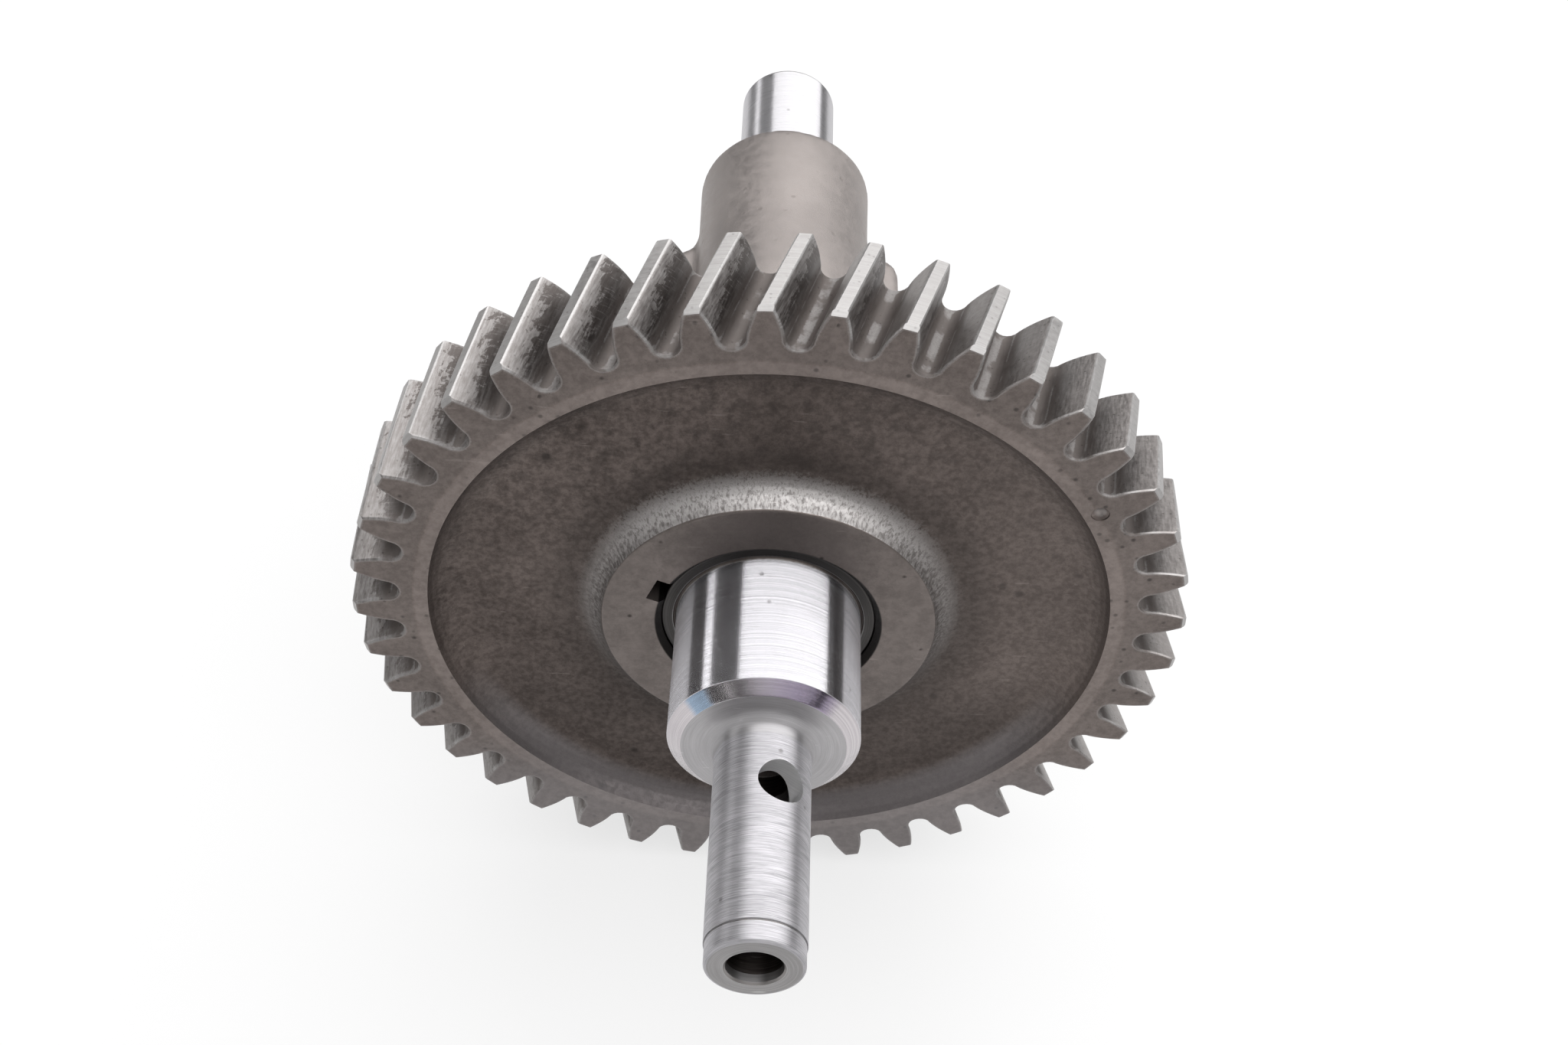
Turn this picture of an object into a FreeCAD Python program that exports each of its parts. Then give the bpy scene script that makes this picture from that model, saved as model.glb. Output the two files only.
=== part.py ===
import FreeCAD, Part
import math
import os
import Sketcher

# Balance shaft with a pressed-on helical drive gear.
# Millimetres. The shaft lies along Y with its drilled stub toward -Y, and the
# heavy side of its weight hangs toward -Z. The origin is the middle of the
# front journal.

# How close two places lie to count as one, in millimetres
NEAR = 1e-3
# How far a cutting outline runs past the solid that it cuts
OVERRUN = 1.0

doc = FreeCAD.newDocument("balance_shaft")
sheet = doc.addObject("Spreadsheet::Sheet", "dims")

SIZES = [
    # Drilled front stub
    ("stub_dia", 12.5),
    ("stub_len", 32.0),
    ("pilot_dia", 12.2),
    ("pilot_len", 3.0),
    ("pilot_edge", 0.35),
    ("stub_fillet", 3.0),
    ("oil_bore_dia", 7.0),
    ("oil_bore_len", 30.0),
    ("oil_bore_edge", 0.25),
    ("drill_point_deg", 118.0),
    ("cross_hole_dia", 6.2),
    ("cross_hole_from_end", 23.0),
    ("cross_hole_deg", 25.0),
    # Front journal
    ("journal_dia", 25.0),
    ("journal_len", 21.5),
    ("shoulder_dia", 21.4),
    ("journal_lead", 1.5),
    # Gear seat and the collar the gear is pressed against
    ("seat_dia", 29.0),
    ("seat_inset", 1.0),
    ("collar_dia", 35.0),
    ("collar_len", 5.0),
    ("collar_edge", 1.0),
    # Barrel and rear journal
    ("barrel_front_dia", 25.8),
    ("barrel_rear_dia", 28.0),
    ("barrel_len", 73.0),
    ("barrel_edge", 0.4),
    ("rear_journal_dia", 16.0),
    ("rear_journal_len", 26.0),
    ("rear_journal_edge", 0.6),
    ("rear_blend", 1.5),
    # Balance weight, flat on top just above the axis and round below it
    ("weight_width", 37.6),
    ("weight_rise", 1.0),
    ("weight_drop", 9.0),
    ("weight_start", 5.0),
    ("weight_len", 55.7),
    ("weight_top_round", 1.5),
    ("weight_shoulder", 4.5),
    ("weight_hollow", 4.5),
    ("neck_inset", 0.2),
    # Helical gear
    ("tooth_count", 41),
    ("normal_module", 2.5),
    ("helix_deg", 17.0),
    ("pressure_deg", 17.5),
    ("addendum", 2.5),
    ("dedendum", 3.9),
    ("tooth_thickness", 3.62),
    ("first_tooth_deg", -10.6),
    ("face_width", 14.0),
    ("tip_chamfer", 0.55),
    ("rim_inner_dia", 91.6),
    ("web_recess", 3.5),
    ("web_blend", 5.0),
    ("hub_dia", 45.0),
    ("hub_len", 17.0),
    ("bore_chamfer", 0.8),
    # Key between the shaft and the gear
    ("key_width", 4.0),
    ("key_deg", -67.0),
    ("key_from_hub", 5.0),
    ("key_len", 10.0),
    ("key_floor_radius", 12.0),
    ("keyway_top_radius", 17.0),
    ("key_top_clearance", 0.2),
]
for row, (name, value) in enumerate(SIZES, start=1):
    sheet.set("A%d" % row, name)
    sheet.set("B%d" % row, str(value))
    sheet.setAlias("B%d" % row, name)
doc.recompute()


def size(name):
    """The value of one named size, read from the sheet."""
    return float(sheet.get(name))


def origin_plane(body, role):
    """The body's own origin plane with the given role."""
    for feature in body.Origin.OriginFeatures:
        if feature.Role == role:
            return feature
    raise RuntimeError("no plane " + role)


def new_sketch(body, name, role):
    """An empty sketch lying on one of the body's origin planes."""
    sketch = body.newObject("Sketcher::SketchObject", name)
    sketch.AttachmentSupport = [(origin_plane(body, role), "")]
    sketch.MapMode = "FlatFace"
    return sketch


def bound(text):
    """An expression over the sheet: each named size gets the sheet's name."""
    out = text
    for alias, _value in sorted(SIZES, key=lambda item: -len(item[0])):
        out = out.replace("<" + alias + ">", "dims." + alias)
    return out


def outline(sketch, corners):
    """A closed outline of lines and arcs, drawn anticlockwise.

    Each corner holds the expressions of its place. A third one is the radius of
    the arc that leaves it, with a minus sign in front where the arc is hollow.
    """
    count = len(corners)
    points = [FreeCAD.Vector(value_of(corner[0]), value_of(corner[1]), 0) for corner in corners]
    ends = []
    for i, corner in enumerate(corners):
        start, finish = points[i], points[(i + 1) % count]
        ends.append((1, 2))
        if len(corner) < 3:
            sketch.addGeometry(Part.LineSegment(start, finish), False)
            continue
        hollow = corner[2].startswith("-")
        text = corner[2].lstrip("-")
        radius = value_of(text)
        chord = finish - start
        rise = radius - math.sqrt(max(0.0, radius ** 2 - chord.Length ** 2 / 4))
        outward = FreeCAD.Vector(chord.y, -chord.x, 0).normalize()
        middle = (start + finish) * 0.5 + outward * (-rise if hollow else rise)
        sketch.addGeometry(Part.Arc(start, middle, finish), False)
        if hollow:
            ends[i] = (2, 1)
        index = sketch.addConstraint(Sketcher.Constraint("Radius", i, radius))
        sketch.setExpression("Constraints[%d]" % index, bound(text))
    for i in range(count):
        following = (i + 1) % count
        sketch.addConstraint(
            Sketcher.Constraint("Coincident", i, ends[i][1], following, ends[following][0]))
    for i, corner in enumerate(corners):
        for axis, text, value in (("X", corner[0], points[i].x), ("Y", corner[1], points[i].y)):
            if text == "0":
                line = -2 if axis == "X" else -1
                sketch.addConstraint(Sketcher.Constraint("PointOnObject", i, ends[i][0], line))
                continue
            place = Sketcher.Constraint("Distance" + axis, i, ends[i][0], value)
            sketch.setExpression("Constraints[%d]" % sketch.addConstraint(place), bound(text))


def value_of(text):
    """The number an expression stands for, used to draw the first guess."""
    probe.setExpression("Length", bound(text) + " + 1000")
    probe.recompute()
    return float(probe.Length.Value) - 1000.0


def edges_where(shape, test):
    """Names of the edges of a shape that pass a test."""
    names = []
    for i, edge in enumerate(shape.Edges, start=1):
        if test(edge):
            names.append("Edge%d" % i)
    return names


def ring(radius, y):
    """A test for a round edge about the Y axis with this radius at this Y."""
    def test(edge):
        if not isinstance(edge.Curve, Part.Circle):
            return False
        centre = edge.Curve.Center
        near = abs(centre.y - y) < NEAR and math.hypot(centre.x, centre.z) < NEAR
        return near and abs(edge.Curve.Radius - radius) < NEAR
    return test


def turned_about(sketch, axis, alias):
    """Turns a sketch about one axis of its plane by a named angle."""
    for letter in "xyz":
        sketch.setExpression("AttachmentOffset.Rotation.Axis." + letter, "1" if letter == axis else "0")
    sketch.setExpression("AttachmentOffset.Rotation.Angle", "dims." + alias)


# A spare box whose length works out an expression, removed at the end
probe = doc.addObject("Part::Box", "probe")

# Axial stations along Y, counted from the middle of the front journal.
JOURNAL_FRONT = "-<journal_len> / 2"
STUB_END = JOURNAL_FRONT + " - <stub_len>"
SEAT_FRONT = "<journal_len> / 2"
HUB_FRONT = SEAT_FRONT + " - <seat_inset>"
HUB_REAR = HUB_FRONT + " + <hub_len>"
RIM_REAR = HUB_FRONT + " + <face_width>"
COLLAR_REAR = HUB_REAR + " + <collar_len>"
BARREL_REAR = COLLAR_REAR + " + <barrel_len>"
SHAFT_END = BARREL_REAR + " + <rear_journal_len>"

# The shaft
shaft = doc.addObject("PartDesign::Body", "balance_shaft")
shaft.Label = "balance_shaft"
turned = new_sketch(shaft, "shaft_profile", "YZ_Plane")
outline(turned, [
    (STUB_END, "0"),
    (STUB_END, "<pilot_dia> / 2 - <pilot_edge>"),
    (STUB_END + " + <pilot_edge>", "<pilot_dia> / 2"),
    (STUB_END + " + <pilot_len>", "<pilot_dia> / 2"),
    (STUB_END + " + <pilot_len>", "<stub_dia> / 2"),
    (JOURNAL_FRONT, "<stub_dia> / 2"),
    (JOURNAL_FRONT, "<shoulder_dia> / 2"),
    (JOURNAL_FRONT + " + <journal_lead>", "<journal_dia> / 2"),
    (SEAT_FRONT, "<journal_dia> / 2"),
    (SEAT_FRONT, "<seat_dia> / 2"),
    (HUB_REAR, "<seat_dia> / 2"),
    (HUB_REAR, "<collar_dia> / 2"),
    (COLLAR_REAR + " - <collar_edge>", "<collar_dia> / 2"),
    (COLLAR_REAR, "<collar_dia> / 2 - <collar_edge>"),
    (COLLAR_REAR, "<barrel_front_dia> / 2"),
    (BARREL_REAR + " - <barrel_edge>", "<barrel_rear_dia> / 2"),
    (BARREL_REAR, "<barrel_rear_dia> / 2 - <barrel_edge>"),
    (BARREL_REAR, "<rear_journal_dia> / 2 + <rear_blend>"),
    (BARREL_REAR + " + <rear_blend>", "<rear_journal_dia> / 2"),
    (SHAFT_END + " - <rear_journal_edge>", "<rear_journal_dia> / 2"),
    (SHAFT_END, "<rear_journal_dia> / 2 - <rear_journal_edge>"),
    (SHAFT_END, "0"),
])
turning = shaft.newObject("PartDesign::Revolution", "shaft_turned")
turning.Profile = turned
turning.ReferenceAxis = (turned, ["H_Axis"])
turning.Angle = 360.0
doc.recompute()

# Round between the stub and the journal's front face
root_edges = edges_where(turning.Shape, ring(size("stub_dia") / 2, value_of(JOURNAL_FRONT)))
stub_root = shaft.newObject("PartDesign::Fillet", "stub_root")
stub_root.Base = (turning, root_edges)
stub_root.setExpression("Radius", "dims.stub_fillet")
doc.recompute()

# The weight is forged in one with the barrel. Seen from above, its round
# shoulders run into the barrel's sides with a hollow curve at both ends.
SIDE = "<weight_width> / 2"
NECK = "(<barrel_rear_dia> / 2 - <neck_inset>)"
TURN_COS = "(1 - (" + SIDE + " - " + NECK + ") / (<weight_shoulder> + <weight_hollow>))"
TURN_SIN = "sqrt(1 - " + TURN_COS + " ^ 2)"
WEIGHT_ENDS = {-1: "(" + COLLAR_REAR + " + <weight_start>)",
               1: "(" + COLLAR_REAR + " + <weight_start> + <weight_len>)"}


def weight_corner(x_sign, y_sign):
    """Places of the hollow's start, its joint with the shoulder and the shoulder's end."""
    inward = " - " if y_sign > 0 else " + "
    across = "" if x_sign > 0 else "-"
    hollow_x = "(" + NECK + " + <weight_hollow> * (1 - " + TURN_COS + "))"
    hollow_y = WEIGHT_ENDS[y_sign] + inward + "<weight_hollow> * " + TURN_SIN
    side_y = hollow_y + inward + "<weight_shoulder> * " + TURN_SIN
    return ((across + NECK, WEIGHT_ENDS[y_sign]), (across + hollow_x, hollow_y),
            (across + "(" + SIDE + ")", side_y))


plan = new_sketch(shaft, "weight_plan", "XY_Plane")
plan.setExpression("AttachmentOffset.Base.z", "dims.weight_rise")
plan_corners = []
for x_sign, y_sign in ((1, -1), (-1, 1)):
    neck, joint, side = weight_corner(x_sign, y_sign)
    plan_corners += [neck + ("-<weight_hollow>",), joint + ("<weight_shoulder>",), side]
    neck, joint, side = weight_corner(x_sign, -y_sign)
    plan_corners += [side + ("<weight_shoulder>",), joint + ("-<weight_hollow>",), neck]
outline(plan, plan_corners)
weight = shaft.newObject("PartDesign::Pad", "weight_block")
weight.Profile = plan
weight.Reversed = True
weight.setExpression("Length", bound("<weight_rise> + <weight_drop> + " + SIDE))
doc.recompute()

# What is cut away makes the underside half round and rounds the top edges.
# Sketch Y points up here and the normal points to -Y.
OUTSIDE = "(" + SIDE + " + %g)" % OVERRUN
ABOVE = "<weight_rise> + %g" % OVERRUN
BELOW = "-<weight_drop> - " + OUTSIDE
section = new_sketch(shaft, "weight_section", "XZ_Plane")
section.setExpression("AttachmentOffset.Base.z", bound("-" + WEIGHT_ENDS[-1]))
outline(section, [
    (OUTSIDE, BELOW),
    (OUTSIDE, ABOVE),
    (SIDE + " - <weight_top_round>", ABOVE),
    (SIDE + " - <weight_top_round>", "<weight_rise>", "-<weight_top_round>"),
    (SIDE, "<weight_rise> - <weight_top_round>"),
    (SIDE, "-<weight_drop>", "-" + SIDE),
    ("0", "-<weight_drop> - " + SIDE, "-" + SIDE),
    ("-" + SIDE, "-<weight_drop>"),
    ("-" + SIDE, "<weight_rise> - <weight_top_round>", "-<weight_top_round>"),
    ("-" + SIDE + " + <weight_top_round>", "<weight_rise>"),
    ("-" + SIDE + " + <weight_top_round>", ABOVE),
    ("-" + OUTSIDE, ABOVE),
    ("-" + OUTSIDE, BELOW),
])
underside = shaft.newObject("PartDesign::Pocket", "weight_underside")
underside.Profile = section
underside.setExpression("Length", "dims.weight_len")
doc.recompute()

# Oil bore up the stub, with its drill point and a broken edge at the mouth.
bore_sketch = new_sketch(shaft, "oil_bore_profile", "XY_Plane")
POINT_LEN = "<oil_bore_dia> / 2 / tan(<drill_point_deg> / 2 * 1 deg)"
outline(bore_sketch, [
    ("0", STUB_END),
    ("<oil_bore_dia> / 2 + <oil_bore_edge>", STUB_END),
    ("<oil_bore_dia> / 2", STUB_END + " + <oil_bore_edge>"),
    ("<oil_bore_dia> / 2", STUB_END + " + <oil_bore_len>"),
    ("0", STUB_END + " + <oil_bore_len> + " + POINT_LEN),
])
bore = shaft.newObject("PartDesign::Groove", "oil_bore")
bore.Profile = bore_sketch
bore.ReferenceAxis = (bore_sketch, ["V_Axis"])
bore.Angle = 360.0
doc.recompute()

# Cross hole from the outside of the stub into the oil bore.
CROSS_PLACE = STUB_END + " + <cross_hole_from_end>"
CROSS_RADIUS = "<cross_hole_dia> / 2"
cross_sketch = new_sketch(shaft, "cross_hole_outline", "XY_Plane")
cross_middle = FreeCAD.Vector(0, value_of(CROSS_PLACE), 0)
cross_sketch.addGeometry(
    Part.Circle(cross_middle, FreeCAD.Vector(0, 0, 1), value_of(CROSS_RADIUS)), False)
cross_sketch.addConstraint(Sketcher.Constraint("PointOnObject", 0, 3, -2))
hold = cross_sketch.addConstraint(Sketcher.Constraint("DistanceY", 0, 3, cross_middle.y))
cross_sketch.setExpression("Constraints[%d]" % hold, bound(CROSS_PLACE))
hold = cross_sketch.addConstraint(Sketcher.Constraint("Radius", 0, value_of(CROSS_RADIUS)))
cross_sketch.setExpression("Constraints[%d]" % hold, bound(CROSS_RADIUS))
turned_about(cross_sketch, "y", "cross_hole_deg")
cross = shaft.newObject("PartDesign::Pocket", "cross_hole")
cross.Profile = cross_sketch
cross.Reversed = True
cross.setExpression("Length", "dims.stub_dia")
doc.recompute()


def key_box(body, name, low, high, from_text, len_text):
    """A slot or bar across the key's width between two radii from the axis."""
    sketch = new_sketch(body, name, "YZ_Plane")
    outline(sketch, [
        (from_text, low),
        (from_text + " + " + len_text, low),
        (from_text + " + " + len_text, high),
        (from_text, high),
    ])
    turned_about(sketch, "x", "key_deg")
    return sketch


# Seat for the key, cut across the gear seat.
seat_sketch = key_box(shaft, "key_seat_outline", "<key_floor_radius>",
                      "<seat_dia> / 2 + %g" % OVERRUN, HUB_FRONT + " + <key_from_hub>", "<key_len>")
key_seat = shaft.newObject("PartDesign::Pocket", "key_seat")
key_seat.Profile = seat_sketch
key_seat.Midplane = True
key_seat.setExpression("Length", "dims.key_width")
shaft.Tip = key_seat
doc.recompute()

# The gear
gear = doc.addObject("PartDesign::Body", "drive_gear")
gear.Label = "drive_gear"
PITCH_RADIUS = "<tooth_count> * <normal_module> / cos(<helix_deg> * 1 deg) / 2"
TIP_RADIUS = PITCH_RADIUS + " + <addendum>"
WEB_FRONT = HUB_FRONT + " + <web_recess>"
WEB_REAR = RIM_REAR + " - <web_recess>"
HUB_SIDE = "<hub_dia> / 2"
RIM_SIDE = "<rim_inner_dia> / 2"
# The web runs into hub and rim over three cones that follow a hollow round.
# Their corners lie at these shares of the blend's reach and of the recess.
BLEND_SHARES = ((0.2, 0.54), (0.56, 0.15))


def web_blend(wall, away, level, toward_face):
    """Corners of the hollow between a wall and the flat web, from the wall to the web."""
    corners = []
    for across, deep in BLEND_SHARES:
        corners.append(("%s %s %g * <web_blend>" % (wall, away, across),
                        "%s %s %g * <web_recess>" % (level, toward_face, deep)))
    return corners + [("%s %s <web_blend>" % (wall, away), level)]


blank_sketch = new_sketch(gear, "gear_blank_profile", "XY_Plane")
outline(blank_sketch, [
    ("<seat_dia> / 2 + <bore_chamfer>", HUB_FRONT),
    (HUB_SIDE, HUB_FRONT),
] + web_blend(HUB_SIDE, "+", WEB_FRONT, "-") + web_blend(RIM_SIDE, "-", WEB_FRONT, "-")[::-1] + [
    (RIM_SIDE, HUB_FRONT),
    (TIP_RADIUS + " - <tip_chamfer>", HUB_FRONT),
    (TIP_RADIUS, HUB_FRONT + " + <tip_chamfer>"),
    (TIP_RADIUS, RIM_REAR + " - <tip_chamfer>"),
    (TIP_RADIUS + " - <tip_chamfer>", RIM_REAR),
    (RIM_SIDE, RIM_REAR),
] + web_blend(RIM_SIDE, "-", WEB_REAR, "+") + web_blend(HUB_SIDE, "+", WEB_REAR, "+")[::-1] + [
    (HUB_SIDE, HUB_REAR),
    ("<seat_dia> / 2 + <bore_chamfer>", HUB_REAR),
    ("<seat_dia> / 2", HUB_REAR + " - <bore_chamfer>"),
    ("<seat_dia> / 2", HUB_FRONT + " + <bore_chamfer>"),
])
blank = gear.newObject("PartDesign::Revolution", "gear_blank")
blank.Profile = blank_sketch
blank.ReferenceAxis = (blank_sketch, ["V_Axis"])
blank.Angle = 360.0
doc.recompute()

y_hub = value_of(HUB_FRONT)

# Tooth spaces. Each flank is an arc through three points of the involute,
# and the bottom of the space is one round arc.
helix = math.radians(size("helix_deg"))
pitch_r = size("tooth_count") * size("normal_module") / math.cos(helix) / 2
turn_per_mm = math.tan(helix) / pitch_r
pressure_t = math.atan(math.tan(math.radians(size("pressure_deg"))) / math.cos(helix))
base_r = pitch_r * math.cos(pressure_t)
tip_r = pitch_r + size("addendum")
root_r = pitch_r - size("dedendum")
ROOT_ARC_RISE = 1.75


def involute(angle):
    """The involute function."""
    return math.tan(angle) - angle


def half_space(radius):
    """Half the angle of the tooth space at a radius."""
    tooth = size("tooth_thickness") / 2 / pitch_r
    at_radius = math.acos(min(1.0, base_r / radius))
    tooth += involute(pressure_t) - involute(at_radius)
    return math.pi / size("tooth_count") - tooth


def space_point(radius, side):
    """A point on one flank of the space that is centred on the sketch Y axis."""
    angle = side * half_space(radius)
    return FreeCAD.Vector(radius * math.sin(angle), radius * math.cos(angle), 0)


def space_sketch(name, y):
    """The tooth space's outline at one station, turned with the helix."""
    sketch = new_sketch(gear, name, "XZ_Plane")
    first = math.radians(size("first_tooth_deg")) + math.pi / size("tooth_count")
    turned_by = first + (y - y_hub) * turn_per_mm
    sketch.AttachmentOffset = FreeCAD.Placement(
        FreeCAD.Vector(0, 0, -y),
        FreeCAD.Rotation(FreeCAD.Vector(0, 0, 1), -math.degrees(turned_by)))
    low = root_r + ROOT_ARC_RISE
    high = tip_r + OVERRUN
    middle = (low + high) / 2
    left_low, left_high = space_point(low, -1), space_point(high, -1)
    right_low, right_high = space_point(low, 1), space_point(high, 1)
    sketch.addGeometry(Part.Arc(left_high, space_point(middle, -1), left_low), False)
    sketch.addGeometry(Part.Arc(left_low, FreeCAD.Vector(0, root_r, 0), right_low), False)
    sketch.addGeometry(Part.Arc(right_low, space_point(middle, 1), right_high), False)
    sketch.addGeometry(Part.LineSegment(right_high, left_high), False)
    return sketch


front_space = space_sketch("space_front", y_hub - OVERRUN)
rear_space = space_sketch("space_rear", y_hub + size("face_width") + OVERRUN)
doc.recompute()
space = gear.newObject("PartDesign::SubtractiveLoft", "tooth_space")
space.Profile = front_space
space.Sections = [rear_space]
space.Ruled = True
doc.recompute()
spaces = gear.newObject("PartDesign::PolarPattern", "tooth_spaces")
spaces.Originals = [space]
spaces.Axis = (blank_sketch, ["V_Axis"])
spaces.Angle = 360.0
spaces.setExpression("Occurrences", "dims.tooth_count")
gear.Tip = spaces
doc.recompute()

keyway_sketch = key_box(gear, "keyway_outline", "<seat_dia> / 2 - %g" % OVERRUN,
                        "<keyway_top_radius>", HUB_FRONT + " - %g" % OVERRUN,
                        "(<hub_len> + 2 * %g)" % OVERRUN)
keyway = gear.newObject("PartDesign::Pocket", "keyway")
keyway.Profile = keyway_sketch
keyway.Midplane = True
keyway.setExpression("Length", "dims.key_width")
gear.Tip = keyway
doc.recompute()

# The key
key = doc.addObject("PartDesign::Body", "gear_key")
key.Label = "gear_key"
bar_sketch = key_box(key, "key_outline", "<key_floor_radius>",
                     "<keyway_top_radius> - <key_top_clearance>",
                     HUB_FRONT + " + <key_from_hub>", "<key_len>")
bar = key.newObject("PartDesign::Pad", "key_bar")
bar.Profile = bar_sketch
bar.Midplane = True
bar.setExpression("Length", "dims.key_width")
key.Tip = bar

doc.removeObject("probe")
doc.recompute()

for item in doc.Objects:
    if "Invalid" in item.State or "Error" in item.State:
        raise RuntimeError("not built: " + item.Name)

os.makedirs("parts", exist_ok=True)
for node in (shaft, gear, key):
    if node.Shape.isNull() or not node.Shape.isValid():
        raise RuntimeError("bad shape: " + node.Label)
    node.Shape.exportStep("parts/" + node.Label + ".step")
    print(node.Label, "solids", len(node.Shape.Solids), "volume", round(node.Shape.Volume, 1),
          "faces", len(node.Shape.Faces))
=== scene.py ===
import math

import bmesh
import bpy
import numpy
from mathutils import Matrix, Vector


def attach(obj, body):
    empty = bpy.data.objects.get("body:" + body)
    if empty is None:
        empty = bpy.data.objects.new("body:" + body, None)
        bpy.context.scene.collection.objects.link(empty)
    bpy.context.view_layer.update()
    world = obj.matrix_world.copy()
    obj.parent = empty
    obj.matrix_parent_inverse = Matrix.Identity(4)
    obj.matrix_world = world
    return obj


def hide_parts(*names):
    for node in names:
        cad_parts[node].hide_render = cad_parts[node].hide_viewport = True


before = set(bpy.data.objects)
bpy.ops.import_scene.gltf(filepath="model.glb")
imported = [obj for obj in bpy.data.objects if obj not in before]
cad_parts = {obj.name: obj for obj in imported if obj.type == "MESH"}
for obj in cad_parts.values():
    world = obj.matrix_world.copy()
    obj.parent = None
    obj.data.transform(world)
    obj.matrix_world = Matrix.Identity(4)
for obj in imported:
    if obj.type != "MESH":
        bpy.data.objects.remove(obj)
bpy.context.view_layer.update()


# The balance shaft itself: one steel forging whose stub, front journal, gear seat, collar and
# rear journal are turned and ground. The barrel and the half-round weight between them keep
# their forged skin. A drilled oil bore runs up the stub and a cross hole meets it.

MM = 0.001


def add_node(tree, kind, inputs=None, **settings):
    """A node of that kind, with its settings, and with its inputs linked or filled in."""
    made = tree.nodes.new(kind)
    for name, value in settings.items():
        setattr(made, name, value)
    for socket, value in (inputs or {}).items():
        if isinstance(value, bpy.types.NodeSocket):
            tree.links.new(value, made.inputs[socket])
        else:
            made.inputs[socket].default_value = value
    return made


def reckon(tree, operation, first, second=0.0):
    """The result of one sum on two values or sockets."""
    return add_node(tree, "ShaderNodeMath", {0: first, 1: second}, operation=operation).outputs[0]


def plus(tree, first, second):
    return reckon(tree, "ADD", first, second)


def minus(tree, first, second):
    return reckon(tree, "SUBTRACT", first, second)


def times(tree, first, second):
    return reckon(tree, "MULTIPLY", first, second)


def weighed(tree, first, share, second):
    """Two values added, the first by its share and the second by the rest."""
    return plus(tree, times(tree, first, share), times(tree, second, 1 - share))


def combined(tree, x, y, z):
    """A vector from its three parts."""
    return add_node(tree, "ShaderNodeCombineXYZ", {0: x, 1: y, 2: z}).outputs[0]


def separated(tree, vector):
    """The three parts of a vector."""
    return add_node(tree, "ShaderNodeSeparateXYZ", {0: vector}).outputs


def spread(tree, value, low, high, to_low=0.0, to_high=1.0):
    """value taken smoothly from one range to another, and held at its ends."""
    return add_node(tree, "ShaderNodeMapRange",
                    {"Value": value, "From Min": low, "From Max": high,
                     "To Min": to_low, "To Max": to_high},
                    interpolation_type="SMOOTHSTEP").outputs["Result"]


def noise(tree, place, scale, detail, roughness=0.5, distortion=0.0):
    """Soft noise at a place, about from 0 to 1."""
    return add_node(tree, "ShaderNodeTexNoise",
                    {"Vector": place, "Scale": scale, "Detail": detail, "Roughness": roughness,
                     "Distortion": distortion}).outputs["Fac"]


def new_group(name, inputs, outputs, vector_outputs=()):
    """An empty shader node group. Its inputs have their values, and None stands for a vector."""
    tree = bpy.data.node_groups.new(name, "ShaderNodeTree")
    for label, value in inputs.items():
        kind = "NodeSocketVector" if value is None else "NodeSocketFloat"
        socket = tree.interface.new_socket(label, in_out="INPUT", socket_type=kind)
        if value is not None:
            socket.default_value = value
    for label in outputs:
        tree.interface.new_socket(label, in_out="OUTPUT", socket_type="NodeSocketFloat")
    for label in vector_outputs:
        tree.interface.new_socket(label, in_out="OUTPUT", socket_type="NodeSocketVector")
    return tree, tree.nodes.new("NodeGroupInput").outputs, tree.nodes.new("NodeGroupOutput").inputs


def give_out(tree, result, values):
    """Values linked to the outputs of a node group."""
    for label, value in values.items():
        tree.links.new(value, result[label])


# Where a point lies on the turned part, in mm: along its profile, out from the axis and round it.
# The profile's place is the sum of the first two, which grows over faces and cylinders alike.
tree, given, result = new_group(
    "round_place", {"Position": None}, ("Along", "Profile", "Radius", "Turn"), ("Millimetres",))
round_place = tree
scaled = add_node(tree, "ShaderNodeVectorMath",
                  {0: given["Position"], 1: (1 / MM, 1 / MM, 1 / MM)}, operation="MULTIPLY").outputs[0]
to_right, along, upward = separated(tree, scaled)
radius = reckon(tree, "SQRT", plus(tree, times(tree, to_right, to_right), times(tree, upward, upward)))
give_out(tree, result, {
    "Along": along, "Profile": plus(tree, along, radius), "Radius": radius,
    "Turn": reckon(tree, "ARCTAN2", to_right, upward), "Millimetres": scaled})

# Fine tool lines that run round the axis, strong in some places and faint in others, over
# grooves that are too fine to be seen one by one. A groove rises over four fifths of its width
# and falls over the rest.
GROOVES_PER_MM = 14.0
tree, given, result = new_group(
    "tool_lines",
    {"Distance": 0.0, "Turn": 0.0, "Lines Per mm": 6.0, "Patchy": 0.5, "Grooves Per mm": GROOVES_PER_MM,
     "Broken": 0.3},
    ("Lines", "Fine", "Grooves"))
tool_lines = tree
line_place = combined(
    tree, times(tree, given["Distance"], given["Lines Per mm"]),
    times(tree, reckon(tree, "COSINE", given["Turn"]), given["Broken"]),
    times(tree, reckon(tree, "SINE", given["Turn"]), given["Broken"]))
coarse = noise(tree, line_place, 1.0, 3.0, 0.65)
patches = noise(tree, line_place, 0.23, 1.0)
strength = plus(tree, minus(tree, 1.0, given["Patchy"]),
                times(tree, spread(tree, patches, 0.35, 0.65), given["Patchy"]))
centred = minus(tree, spread(tree, coarse, 0.32, 0.68), 0.5)
groove_at = plus(tree, times(tree, coarse, 0.2), times(tree, given["Distance"], given["Grooves Per mm"]))
groove_rise = reckon(tree, "FRACT", groove_at)
groove_fall = times(tree, minus(tree, 1.0, groove_rise), 4.0)
give_out(tree, result, {
    "Lines": plus(tree, times(tree, centred, strength), 0.5),
    "Fine": noise(tree, line_place, 3.7, 2.0, 0.7),
    "Grooves": reckon(tree, "MINIMUM", groove_rise, groove_fall)})

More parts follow.
